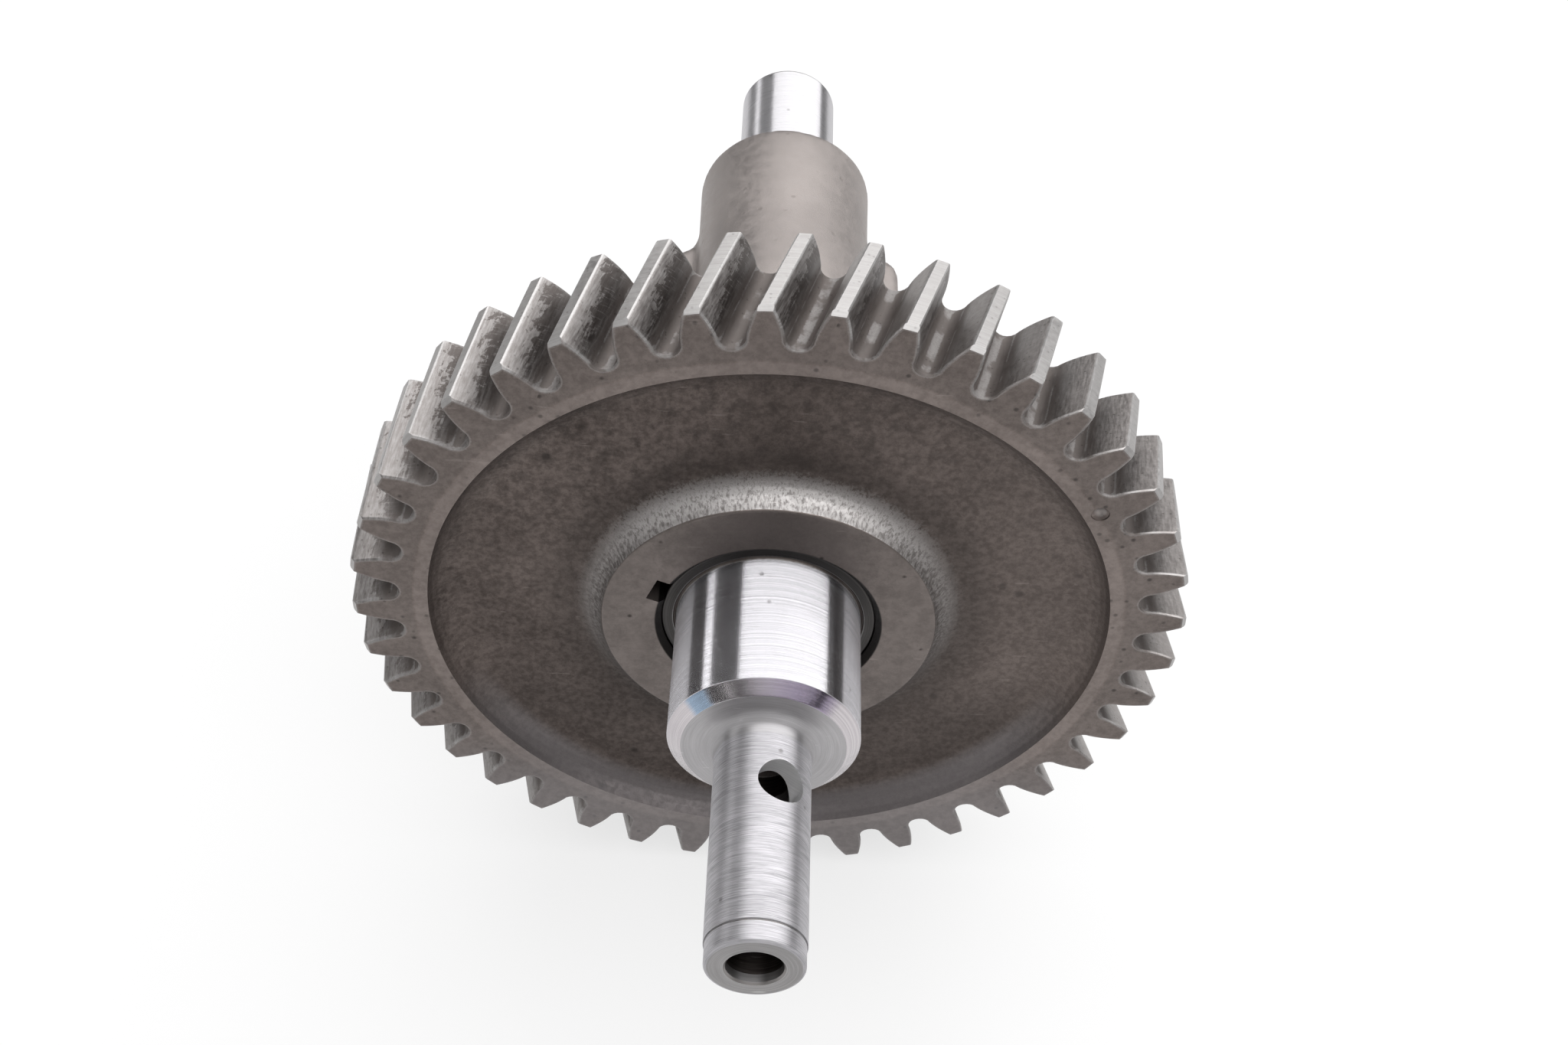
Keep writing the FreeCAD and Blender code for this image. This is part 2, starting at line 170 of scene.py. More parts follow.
# Clouds, small pits and stray scratches of steel that has been handled.
tree, given, result = new_group(
    "worn_steel",
    {"Millimetres": None, "Cloud Size": 8.0, "Smudge Size": 1.0, "Pit Size": 0.7, "Pit Share": 0.3},
    ("Cloud", "Smudge", "Pits", "Scratches", "Grain"))
worn_steel = tree
position = given["Millimetres"]
cloud = noise(tree, position, reckon(tree, "DIVIDE", 1.0, given["Cloud Size"]), 4.0, 0.6)
smudge = noise(tree, position, reckon(tree, "DIVIDE", 1.0, given["Smudge Size"]), 5.0, 0.72, 0.15)
pit_cells = add_node(tree, "ShaderNodeTexVoronoi",
                     {"Vector": position, "Scale": reckon(tree, "DIVIDE", 1.0, given["Pit Size"])}).outputs
chosen = reckon(tree, "LESS_THAN", separated(tree, pit_cells["Color"])[0], given["Pit Share"])
dent = spread(tree, pit_cells["Distance"], 0.12, 0.42, 1.0, 0.0)
scratches = 0.0
for lean, length_scale, width_scale in ((0.5, 0.16, 5.0), (2.1, 0.22, 6.0), (1.2, 0.18, 7.0)):
    turned = add_node(tree, "ShaderNodeMapping",
                      {"Vector": position, "Rotation": (lean * 0.4, lean, lean * 0.3),
                       "Scale": (length_scale, width_scale, width_scale * 0.2)}).outputs[0]
    line = spread(tree, noise(tree, turned, 1.0, 1.0, 0.5, 0.15), 0.75, 0.80)
    scratches = reckon(tree, "MAXIMUM", scratches, line)
give_out(tree, result, {
    "Cloud": spread(tree, cloud, 0.3, 0.7), "Smudge": spread(tree, smudge, 0.3, 0.7),
    "Pits": times(tree, dent, chosen), "Scratches": scratches,
    "Grain": noise(tree, position, 3.5, 4.0, 0.7)})

# Bright rubbed edges, broken up by the grain.
tree, given, result = new_group("rubbed_edge", {"Edge": 0.0, "Grain": 0.5, "Reach": 0.5}, ("Rub",))
rubbed_edge = tree
start = minus(tree, 1.0, given["Reach"])
lifted = plus(tree, given["Edge"], times(tree, minus(tree, given["Grain"], 0.5), 0.9))
rub = add_node(tree, "ShaderNodeMapRange",
               {"Value": lifted, "From Min": start, "From Max": plus(tree, start, 0.35)}).outputs["Result"]
give_out(tree, result, {"Rub": rub})


def grey(level, warmth=0.0, cool=0.0):
    """A colour from its level in an 8-bit picture, with a little warmth or a cool tint."""
    def linear(part):
        part = max(part, 0.0) / 255
        return part / 12.92 if part <= 0.04045 else ((part + 0.055) / 1.055) ** 2.4
    return (linear(level + warmth), linear(level), linear(level - warmth * 0.45 + cool), 1.0)


def blended(tree, share, first, second, way="MIX"):
    """Two colours mixed by a share from 0 to 1."""
    return add_node(tree, "ShaderNodeMix", {"Factor": share, 6: first, 7: second},
                    data_type="RGBA", blend_type=way).outputs[2]


def laid(tree, under, share, strength, over):
    """One colour laid over another by a share, which counts with its strength."""
    return blended(tree, times(tree, share, strength), under, over)


def place_group(tree, group, inputs):
    """The outputs of a node group placed in a material, with its inputs linked or filled in."""
    return add_node(tree, "ShaderNodeGroup", inputs, node_tree=group).outputs


def steel_material(name, metallic=1.0):
    """A new material with its shader, its place on the turned part and its edge value."""
    material = bpy.data.materials.new(name)
    material.use_nodes = True
    tree = material.node_tree
    shader = tree.nodes["Principled BSDF"]
    shader.inputs["Metallic"].default_value = metallic
    position = add_node(tree, "ShaderNodeTexCoord").outputs["Object"]
    place = place_group(tree, round_place, {"Position": position})
    edge = add_node(tree, "ShaderNodeAttribute", attribute_name="edge").outputs["Fac"]
    return material, tree, shader, place, edge


def worn_at(tree, place, cloud, smudge, pit, pit_share):
    """The marks of handled steel, from the sizes of its clouds, smudges and pits in mm."""
    return place_group(tree, worn_steel,
                       {"Millimetres": place["Millimetres"], "Cloud Size": cloud, "Smudge Size": smudge,
                        "Pit Size": pit, "Pit Share": pit_share})


def rubbed_at(tree, edge, worn, reach):
    """How far an edge is rubbed bright."""
    return place_group(tree, rubbed_edge, {"Edge": edge, "Grain": worn["Grain"], "Reach": reach})["Rub"]


def finish_steel(tree, shader, colour, roughness, height, depth_mm, strength=1.0):
    """Colour, roughness and relief linked to a material's shader. The depth is in mm."""
    tree.links.new(colour, shader.inputs["Base Color"])
    tree.links.new(roughness, shader.inputs["Roughness"])
    relief = add_node(tree, "ShaderNodeBump",
                      {"Height": height, "Distance": depth_mm * MM, "Strength": strength})
    tree.links.new(relief.outputs["Normal"], shader.inputs["Normal"])


def turned_material(name, light, dark, roughness, lines_per_mm, broken, slope, stretch):
    """Turned or ground steel: tool lines round the axis, faint clouds, scratches and rubbed edges."""
    material, tree, shader, place, edge = steel_material(name)
    shader.inputs["Anisotropic"].default_value = stretch
    shader.inputs["Anisotropic Rotation"].default_value = 0.25
    round_axis = add_node(tree, "ShaderNodeTangent", direction_type="RADIAL", axis="Y")
    tree.links.new(round_axis.outputs["Tangent"], shader.inputs["Tangent"])
    lines = place_group(tree, tool_lines,
                        {"Distance": place["Profile"], "Turn": place["Turn"], "Lines Per mm": lines_per_mm,
                         "Patchy": 0.5, "Grooves Per mm": GROOVES_PER_MM, "Broken": broken})
    worn = worn_at(tree, place, 9.0, 1.0, 1.1, 0.012)
    colour = blended(tree, weighed(tree, lines["Lines"], 0.8, worn["Cloud"]), dark, light)
    colour = laid(tree, colour, worn["Pits"], 0.5, grey(90, 4))
    colour = laid(tree, colour, worn["Scratches"], 0.25, grey(235, 1))
    rubbed = tuple(part * 0.65 + 0.3 for part in light[:3]) + (1.0,)
    colour = laid(tree, colour, rubbed_at(tree, edge, worn, 0.45), 0.5, rubbed)
    rough = spread(tree, lines["Fine"], 0.3, 0.7, roughness - 0.03, roughness + 0.03)
    marks = minus(tree, times(tree, lines["Lines"], 0.05),
                  plus(tree, worn["Pits"], times(tree, worn["Scratches"], 0.3)))
    height = plus(tree, lines["Grooves"], marks)
    finish_steel(tree, shader, colour, rough, height, slope / GROOVES_PER_MM)
    return material


# Each finish has its light and dark tones, its roughness, its lines per mm and how broken they
# are, the slope of its grooves, and how far its shine is stretched.
ground_journal = turned_material(
    "ground_journal", grey(224, 2, 5), grey(182, 1, 5), 0.24, 3.5, 0.04, 0.46, 1.0)
lead_cone = turned_material("lead_cone", grey(204, 3, 3), grey(172, 4, 6), 0.15, 7.0, 0.3, 0.05, 0.5)
turned_stub = turned_material("turned_stub", grey(206, 2, 5), grey(134, 1, 3), 0.44, 12.0, 1.8, 0.38, 0.35)
turned_shoulder = turned_material(
    "turned_shoulder", grey(180, 2, 3), grey(158, 2, 2), 0.40, 8.0, 1.4, 0.18, 0.4)
turned_face = turned_material("turned_face", grey(158, 2, 1), grey(132, 2, 1), 0.38, 6.0, 0.5, 0.20, 0.5)
ground_rear = turned_material("ground_rear", grey(205, 2, 4), grey(189, 1, 3), 0.30, 6.0, 0.3, 0.30, 0.9)
# The seat face's dark tones are oil and painted shade inside the gear's bore.
seat_face = turned_material("seat_face", grey(76, 2), grey(52, 2), 0.36, 7.0, 0.3, 0.10, 0.4)
# The bore walls' dark tones are painted shade of the bores, gaps and grooves where they lie.
bore_wall = turned_material("bore_wall", grey(104, 7), grey(50, 5), 0.36, 5.0, 0.5, 0.15, 0.5)
drilled_wall = turned_material("drilled_wall", grey(238, 1, 2), grey(190, 1), 0.34, 7.0, 2.0, 0.10, 0.0)

# The cross hole's wall is duller than the turned faces, so that it doesn't go black in its depth.
drilled_wall.node_tree.nodes["Principled BSDF"].inputs["Metallic"].default_value = 0.6

# The lead cone has a faint painted sheen: blue to the left, and violet to the right.
tree = lead_cone.node_tree
cone_colour = tree.nodes["Principled BSDF"].inputs["Base Color"]
position = add_node(tree, "ShaderNodeTexCoord").outputs["Object"]
turn = place_group(tree, round_place, {"Position": position})["Turn"]
blue = times(tree, spread(tree, turn, -1.0, -0.88), spread(tree, turn, -0.58, -0.72))
violet = times(tree, spread(tree, turn, -0.4, 0.4), spread(tree, turn, 0.92, 0.7))
painted_sheen = blended(tree, blue, (1.0, 0.98, 0.98, 1), (0.60, 0.80, 1.0, 1))
painted_sheen = blended(tree, violet, painted_sheen, (0.84, 0.76, 0.95, 1))
tree.links.new(blended(tree, 1.0, cone_colour.links[0].from_socket, painted_sheen, "MULTIPLY"), cone_colour)

# Forged skin: warm grey, softly clouded, with a fine grain and rubbed high spots.
forged_skin, tree, shader, place, edge = steel_material("forged_skin", 0.85)
worn = worn_at(tree, place, 14.0, 1.5, 1.3, 0.05)
colour = blended(tree, weighed(tree, worn["Cloud"], 0.6, worn["Smudge"]), grey(129, 6), grey(149, 7))
colour = laid(tree, colour, worn["Pits"], 0.3, grey(104, 8))
pointed = add_node(tree, "ShaderNodeNewGeometry").outputs["Pointiness"]
high_spots = rubbed_at(tree, spread(tree, pointed, 0.51, 0.58), worn, 0.6)
colour = laid(tree, colour, high_spots, 0.5, grey(172, 3))
rough = spread(tree, worn["Smudge"], 0.0, 1.0, 0.46, 0.6)
height = minus(tree, times(tree, worn["Grain"], 1.2), worn["Pits"])
finish_steel(tree, shader, colour, rough, height, 0.05, 0.6)

ARC_STEP = math.radians(14)


def rounded_line(corners):
    """A line of (y, r, zone) points with its corners rounded. Each corner is (y, r, radius, zone)."""
    made = []
    for at, (y, r, radius, zone) in enumerate(corners):
        if radius == 0 or at in (0, len(corners) - 1):
            made.append((y, r, zone))
            continue
        here = Vector((y, r))
        back = Vector(corners[at - 1][:2]) - here
        ahead = Vector(corners[at + 1][:2]) - here
        half = back.angle(ahead) / 2
        reach = min(radius / math.tan(half), back.length * 0.49, ahead.length * 0.49)
        radius = reach * math.tan(half)
        centre = here + (back.normalized() + ahead.normalized()).normalized() * (radius / math.sin(half))
        first = here + back.normalized() * reach - centre
        last = here + ahead.normalized() * reach - centre
        sweep = first.angle_signed(last)
        steps = max(2, round(abs(sweep) / ARC_STEP))
        for step in range(steps + 1):
            spot = centre + Matrix.Rotation(-sweep * step / steps, 2) @ first
            made.append((spot.x, spot.y, zone))
    return made


def with_margins(line, margin):
    """The line with a point put in at margin from both ends of each long stretch."""
    made = []
    for (y, r, zone), (next_y, next_r, _zone) in zip(line, line[1:]):
        made.append((y, r, zone))
        length = math.hypot(next_y - y, next_r - r)
        if length > 3 * margin:
            for share in (margin / length, 1 - margin / length):
                made.append((y + (next_y - y) * share, r + (next_r - r) * share, zone))
    return made + [line[-1]]


def made_mesh(work, name, slots=()):
    """The mesh of a finished bmesh, with its materials."""
    mesh = bpy.data.meshes.new(name)
    work.to_mesh(mesh)
    work.free()
    for slot in slots:
        mesh.materials.append(slot)
    return mesh


SHARP = math.radians(28)


def turned_mesh(name, line, steps, slots):
    """A closed mesh turned round the Y axis from a line of (y, r, zone) points, in mm."""
    work = bmesh.new()
    rings = []
    for y, r, zone in line:
        if r < 1e-6:
            rings.append([work.verts.new((0.0, y * MM, 0.0))])
        else:
            rings.append([work.verts.new((r * MM * math.sin(2 * math.pi * k / steps), y * MM,
                                          r * MM * math.cos(2 * math.pi * k / steps)))
                          for k in range(steps)])
    for (near, far), (y, r, zone) in zip(zip(rings, rings[1:]), line):
        for k in range(steps):
            ahead = (k + 1) % steps
            if len(near) == 1:
                corners = (near[0], far[ahead], far[k])
            elif len(far) == 1:
                corners = (near[k], near[ahead], far[0])
            else:
                corners = (near[k], near[ahead], far[ahead], far[k])
            work.faces.new(corners).material_index = slots.index(zone)
    bmesh.ops.recalc_face_normals(work, faces=work.faces)
    mesh = made_mesh(work, name, slots)
    mesh.shade_smooth()
    mesh.set_sharp_from_angle(angle=SHARP)
    return mesh


def shown(name, data):
    """A new object of that mesh, lamp or camera, linked to the scene."""
    piece = bpy.data.objects.new(name, data)
    bpy.context.scene.collection.objects.link(piece)
    return piece


def settled(piece):
    """The piece's mesh with its modifiers worked out, and the piece removed."""
    bpy.context.view_layer.update()
    ready = piece.evaluated_get(bpy.context.evaluated_depsgraph_get())
    mesh = bpy.data.meshes.new_from_object(ready)
    mesh.name = piece.name
    bpy.data.objects.remove(piece)
    return mesh


def cut_with(piece, tool, name):
    """A cut through the piece, whose walls get the tool's finish."""
    cut = piece.modifiers.new(name, "BOOLEAN")
    cut.object = tool
    cut.operation = "DIFFERENCE"
    cut.solver = "EXACT"
    cut.material_mode = "TRANSFER"


# The turned profile, from the bore's inner end round the stub to the rear end. Each row is y, r,
# the corner's radius and the finish up to the next row. The stub has rows in between, so that
# its faces stay short where the cross hole cuts them.
EDGE_MARGIN = 0.22
ROUND_STEPS = 256
OIL_BORE_R = 3.5
STUB_R = 6.25
shaft_line = with_margins(rounded_line([
    (-10.65, 0.0, 0, bore_wall),
    (-12.75, OIL_BORE_R, 0, bore_wall),
    (-16.00, OIL_BORE_R, 0, turned_face),
    (-23.60, OIL_BORE_R, 0, bore_wall),
    (-41.40, OIL_BORE_R, 0, turned_face),
    (-42.50, OIL_BORE_R, 0, bore_wall),
    (-42.75, 3.75, 0, turned_face),
    (-42.75, 6.1, 0.4, turned_stub),
    (-39.95, 6.1, 0, bore_wall),
    (-39.90, 6.0, 0, bore_wall),
    (-39.75, 6.0, 0, turned_stub),
    (-39.72, STUB_R, 0.03, turned_stub)]
    + [(y, STUB_R, 0, turned_stub) for y in (-32, -26, *range(-24, -14))]
    + [(-10.75, STUB_R, 3.0, turned_shoulder),
       (-10.75, 10.7, 0.1, lead_cone),
       (-9.25, 12.5, 0.12, ground_journal),
       (10.55, 12.5, 0, bore_wall),
       (10.95, 12.75, 0.05, bore_wall),
       (10.75, 12.95, 0, seat_face),
       (10.75, 14.5, 0.3, seat_face),
       (26.75, 14.5, 0, turned_face),
       (26.75, 17.5, 1.0, turned_stub),
       (31.75, 17.5, 1.0, turned_face),
       (31.75, 12.5, 0, turned_face),
       (104.20, 13.5, 0, turned_face),
       (104.20, 9.6, 0, turned_face),
       (104.75, 9.5, 0, turned_face),
       (106.25, 8.0, 1.2, ground_rear),
       (130.75, 8.0, 0.6, turned_face),
       (130.75, 1.6, 0, turned_face),
       (128.60, 0.0, 0, turned_face)]), EDGE_MARGIN)
shaft_slots = [ground_journal, lead_cone, turned_stub, turned_shoulder, turned_face, ground_rear, seat_face,
               bore_wall, drilled_wall, forged_skin]
turned_shaft = shown("turned_shaft", turned_mesh("turned_shaft", shaft_line, ROUND_STEPS, shaft_slots))

# The cross hole is drilled through the stub's wall.
CROSS_Y = -19.75
CROSS_TURN = math.radians(25)
CROSS_R = 3.1
drill_line = [(1.0, 0.0, drilled_wall), (1.0, CROSS_R, drilled_wall), (8.0, CROSS_R, drilled_wall),
              (8.0, 0.0, drilled_wall)]
drill_mesh = turned_mesh("cross_drill", drill_line, 64, [drilled_wall])
drill_mesh.transform(Matrix.Translation((0, CROSS_Y * MM, 0)) @ Matrix.Rotation(CROSS_TURN, 4, "Y")
                     @ Matrix.Rotation(math.radians(90), 4, "X"))
cross_drill = shown("cross_drill", drill_mesh)
cut_with(turned_shaft, cross_drill, "drilled")
turned_ready = settled(turned_shaft)
bpy.data.objects.remove(cross_drill)

# The forged barrel and weight are one skin with soft edges, taken from the model's own shape. Its
# front end is then drawn on into the collar.
SKIN_FROM = 31.80
SKIN_TO = 104.70
IN_COLLAR = 30.9
VOXEL = 0.55
forged = bmesh.new()
forged.from_mesh(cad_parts["balance_shaft"].data)
bmesh.ops.remove_doubles(forged, verts=forged.verts, dist=1e-6)
for cut_at, facing in ((SKIN_FROM, -1), (SKIN_TO, 1)):
    bmesh.ops.bisect_plane(forged, geom=forged.verts[:] + forged.edges[:] + forged.faces[:],
                           plane_co=(0, cut_at * MM, 0), plane_no=(0, facing, 0), clear_outer=True)
for spot in forged.verts:
    if spot.co.y < (SKIN_FROM + 0.05) * MM:
        spot.co.y = IN_COLLAR * MM
bmesh.ops.holes_fill(forged, edges=[line for line in forged.edges if len(line.link_faces) == 1])
forged_body = shown("forged_body", made_mesh(forged, "forged_body"))
skin = forged_body.modifiers.new("skin", "REMESH")
skin.mode = "VOXEL"
skin.voxel_size = VOXEL * MM
softened = forged_body.modifiers.new("softened", "SMOOTH")
softened.factor = 0.5
softened.iterations = 8
forged_ready = settled(forged_body)
forged_ready.materials.clear()
for slot in shaft_slots:
    forged_ready.materials.append(slot)
for face in forged_ready.polygons:
    face.material_index = shaft_slots.index(forged_skin)
    face.use_smooth = True


RUBBED_FROM = math.radians(18)


def mark_edges(mesh):
    """An attribute of 1 along the edges that are sharp enough to be rubbed, and 0 elsewhere."""
    work = bmesh.new()
    work.from_mesh(mesh)
    values = [0.0] * len(work.verts)
    for line in work.edges:
        if len(line.link_faces) == 2 and line.calc_face_angle(0.0) > RUBBED_FROM:
            values[line.verts[0].index] = 1.0
            values[line.verts[1].index] = 1.0
    work.free()
    mesh.attributes.new("edge", "FLOAT", "POINT").data.foreach_set("value", values)


joined = bmesh.new()
joined.from_mesh(turned_ready)
joined.from_mesh(forged_ready)
shaft_mesh = made_mesh(joined, "shaft_body", shaft_slots)
shaft_mesh.set_sharp_from_angle(angle=SHARP)
mark_edges(shaft_mesh)
shaft_body = shown("shaft_body", shaft_mesh)
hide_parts("balance_shaft")
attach(shaft_body, "root")


# The drive gear: a forged steel blank with a dished web, turned on its hub and rim, with 41
# helical teeth that are hobbed, ground and deburred. It is pressed onto the shaft's seat, and
# a keyway runs through its bore.

TEETH = 41
NORMAL_MODULE = 2.5
HELIX = math.radians(17)
NORMAL_PRESSURE = math.radians(17.5)
PITCH_R = TEETH * NORMAL_MODULE / math.cos(HELIX) / 2
DEDENDUM = 3.9
TIP_R = PITCH_R + NORMAL_MODULE
ROOT_R = PITCH_R - DEDENDUM
ROOT_ARC_RISE = 1.75
ROOT_POINTS = 5
PRESSURE = math.atan(math.tan(NORMAL_PRESSURE) / math.cos(HELIX))
BASE_R = PITCH_R * math.cos(PRESSURE)
TOOTH_THICKNESS = 3.62
FIRST_TOOTH = math.radians(-10.6)
TURN_PER_MM = math.tan(HELIX) / PITCH_R
FRONT_Y = 9.75
REAR_Y = 23.75
CHAMFER = 0.55
CHAMFER_R = TIP_R - CHAMFER
DEBURR = 0.2
REAR_BREAK = 0.1
HALO = 0.75
HALF_PITCH = math.pi / TEETH
FLANK_RADII = (52.2, 53.0, 53.8, 54.6, 55.1)

# The rows at the front keep this far below and behind the chamfer's edge, so that they never
# meet. The edge between flank and land is broken by a drop down the flank and an inset.
BELOW_CHAMFER = 0.02
BEHIND_CHAMFER = 0.03
LAND_DROP = 0.16
LAND_INSET = 0.13


def involute(angle):
    return math.tan(angle) - angle


def half_tooth(r):
    """Half the angle that a tooth spans at a radius."""
    return (TOOTH_THICKNESS / 2 / PITCH_R + involute(PRESSURE)
            - involute(math.acos(min(1.0, BASE_R / r))))


# One half of the slice's outline, from the root's middle up to the land's middle. Each point
# is its radius and its angle from the tooth's middle.
arc_r = ROOT_R + ROOT_ARC_RISE
arc_half = HALF_PITCH - half_tooth(arc_r)
arc_x, arc_y = arc_r * math.sin(arc_half), arc_r * math.cos(arc_half)
root_round = (arc_x ** 2 + (arc_y - ROOT_R) ** 2) / (2 * (arc_y - ROOT_R))
arc_sweep = math.asin(min(1.0, arc_x / root_round))
half_outline = []
for step in range(ROOT_POINTS):
    lean = arc_sweep * step / ROOT_POINTS
    x, y = root_round * math.sin(lean), ROOT_R + root_round * (1 - math.cos(lean))
    half_outline.append((math.hypot(x, y), HALF_PITCH - math.atan2(x, y)))
for r in (arc_r, *FLANK_RADII, CHAMFER_R, TIP_R - LAND_DROP):
    half_outline.append((r, half_tooth(r)))
land_half = half_tooth(TIP_R) - LAND_INSET / TIP_R
half_outline.append((TIP_R, land_half))
half_outline.append((TIP_R, land_half * 0.5))
outline = ([(r, -angle) for r, angle in half_outline] + [(TIP_R, 0.0)]
           + [(r, angle) for r, angle in reversed(half_outline)])
COLUMNS = len(outline) - 1


def flat_point(r, angle):
    return numpy.array((r * math.sin(angle), r * math.cos(angle)))


outline_points = numpy.array([flat_point(r, angle) for r, angle in outline])
along_outline = numpy.gradient(outline_points, axis=0)
along_outline /= numpy.linalg.norm(along_outline, axis=1)[:, None]
inward = numpy.stack((along_outline[:, 1], -along_outline[:, 0]), axis=1)
inward[0] = -flat_point(1, outline[0][1])
inward[-1] = -flat_point(1, outline[-1][1])


def face_row(inset):
    """The outline on the front face, moved into the metal, below the front tip chamfer."""
    row = []
    for at, (r, angle) in enumerate(outline):
        if r < arc_r:
            row.append((outline_points[at] + inward[at] * inset, FRONT_Y))
            continue
        low_r = min(r, CHAMFER_R - BELOW_CHAMFER)
        low_r -= (inset - DEBURR) * (low_r - arc_r) / (CHAMFER_R - arc_r)
        half = half_tooth(low_r) - inset / low_r
        share = min(1.0, abs(angle) / half_tooth(min(r, TIP_R)))
        row.append((flat_point(low_r, math.copysign(half * share, angle)), FRONT_Y))
    return row


def side_row(y, inset=0.0):
    """The outline at y, behind the front tip chamfer, moved into the metal by inset."""
    return [(outline_points[at] + inward[at] * inset,
             max(y, FRONT_Y + r - CHAMFER_R + BEHIND_CHAMFER)) for at, (r, angle) in enumerate(outline)]


def twisted(spot, y):
    """A point of the slice at y, turned along the helix, in metres."""
    turn = (y - FRONT_Y) * TURN_PER_MM
    x, z = spot
    return (MM * (x * math.cos(turn) + z * math.sin(turn)), MM * y,
            MM * (z * math.cos(turn) - x * math.sin(turn)))


ZONES = {"web": 0, "face": 1, "flank": 2, "land": 3, "hub": 4}
RING_R = 48.6
FLANK_ROWS = 16
INNER_COLUMNS = 8

slice_work = bmesh.new()
zone_layer = slice_work.faces.layers.int.new("zone")
value_layers = {label: slice_work.verts.layers.float.new(label)
                for label in ("tooth_height", "tooth_side", "tooth_along")}


def add_row(row, along):
    """One row of the outline's points, with the values that its finish reads."""
    made = []
    for at, (spot, y) in enumerate(row):
        corner = slice_work.verts.new(twisted(spot, y))
        r = outline[at][0]
        side = -1.0 if at < COLUMNS / 2 else 1.0
        corner[value_layers["tooth_height"]] = (r - ROOT_R) / (TIP_R - ROOT_R)
        corner[value_layers["tooth_side"]] = side if r < TIP_R else 0.0
        corner[value_layers["tooth_along"]] = along
        made.append(corner)
    return made


def join_rows(near, far, zone_of):
    for at in range(len(near) - 1):
        face = slice_work.faces.new((near[at], near[at + 1], far[at + 1], far[at]))
        face[zone_layer] = ZONES[zone_of(at)]


def ring_row(r, y, angles):
    """One row of points on a circle, at these angles from the slice's middle."""
    return [slice_work.verts.new(twisted(flat_point(r, angle), y)) for angle in angles]


def flank_or_land(at):
    top = min(outline[at][0], outline[at + 1][0])
    return "land" if top > CHAMFER_R else "flank"


# The fine ring lies straight below the root's points, and is spread evenly below the tooth.
root_angles = [math.atan2(spot[0], spot[1]) for spot, y in face_row(HALO)[:ROOT_POINTS + 1]]
below_tooth = COLUMNS // 2 - ROOT_POINTS
fine_half = root_angles + [root_angles[-1] * (1 - step / below_tooth) for step in range(1, below_tooth)]
fine_angles = fine_half + [0.0] + [-angle for angle in reversed(fine_half)]

front_ring = ring_row(RING_R, FRONT_Y, fine_angles)
halo_row = add_row(face_row(HALO), 0.0)
rows = [add_row(face_row(DEBURR), 0.0), add_row(side_row(FRONT_Y + DEBURR), 0.0)]
for step in range(1, FLANK_ROWS):
    share = step / FLANK_ROWS
    y = FRONT_Y + DEBURR + (REAR_Y - FRONT_Y - DEBURR - REAR_BREAK) * share
    rows.append(add_row(side_row(y), share))
rows.append(add_row(side_row(REAR_Y - REAR_BREAK), 1.0))
rows.append(add_row(side_row(REAR_Y, REAR_BREAK), 1.0))
rear_ring = ring_row(RING_R, REAR_Y, fine_angles)

join_rows(front_ring, halo_row, lambda at: "face")
join_rows(halo_row, rows[0], lambda at: "face")
for near, far in zip(rows, rows[1:]):
    join_rows(near, far, flank_or_land)
join_rows(rows[-1], rear_ring, lambda at: "face")

# The turned and forged inside of the blank, from the rim's front face round to its rear face.
WEB_DEPTH = 3.5
WEB_FRONT = FRONT_Y + WEB_DEPTH
WEB_REAR = REAR_Y - WEB_DEPTH
BLEND_R = 5.4
BLEND_ANGLE = math.acos(1 - WEB_DEPTH / BLEND_R)
BLEND_REACH = BLEND_R * math.sin(BLEND_ANGLE)
BLEND_STEPS = 6
RIM_INNER_R = 45.8
RIM_R = 48.0
HUB_R = 22.5
HUB_FOOT_R = 22.7
HUB_REAR = 26.75
BORE_R = 14.5
BORE_BEVEL = 0.8


def web_blend(web_y, wall_r, toward, outward, rising):
    """The hollow round between the web and a wall. toward is -1 for the front."""
    made = []
    for step in range(BLEND_STEPS + 1):
        lean = BLEND_ANGLE * (step if rising else BLEND_STEPS - step) / BLEND_STEPS
        made.append((web_y + toward * BLEND_R * (1 - math.cos(lean)),
                     wall_r - outward * (BLEND_REACH - BLEND_R * math.sin(lean)), 0, "web"))
    return made


blank_line = with_margins(rounded_line(
    [(FRONT_Y, RIM_R, 0, "face")] + web_blend(WEB_FRONT, RIM_INNER_R, -1, 1, False)
    + web_blend(WEB_FRONT, HUB_R, -1, -1, True)[:-1]
    + [(FRONT_Y, HUB_R, 0.35, "hub"),
       (FRONT_Y, BORE_R + BORE_BEVEL, 0.08, "hub"),
       (FRONT_Y + BORE_BEVEL, BORE_R, 0, "hub"),
       (HUB_REAR - BORE_BEVEL, BORE_R, 0, "hub"),
       (HUB_REAR, BORE_R + BORE_BEVEL, 0, "hub"),
       (HUB_REAR, HUB_R, 0.35, "web"),
       (24.2, HUB_FOOT_R, 0.5, "web")]
    + web_blend(WEB_REAR, HUB_FOOT_R, 1, -1, False)[1:]
    + web_blend(WEB_REAR, RIM_INNER_R, 1, 1, True)
    + [(REAR_Y, RIM_R, 0, "face")]), EDGE_MARGIN)
coarse_angles = [HALF_PITCH * (2 * at / INNER_COLUMNS - 1) for at in range(INNER_COLUMNS + 1)]
inner_rows = [ring_row(r, y, coarse_angles) for y, r, zone in blank_line]
for (near, far), (y, r, zone) in zip(zip(inner_rows, inner_rows[1:]), blank_line):
    join_rows(far, near, lambda at, zone=zone: zone)


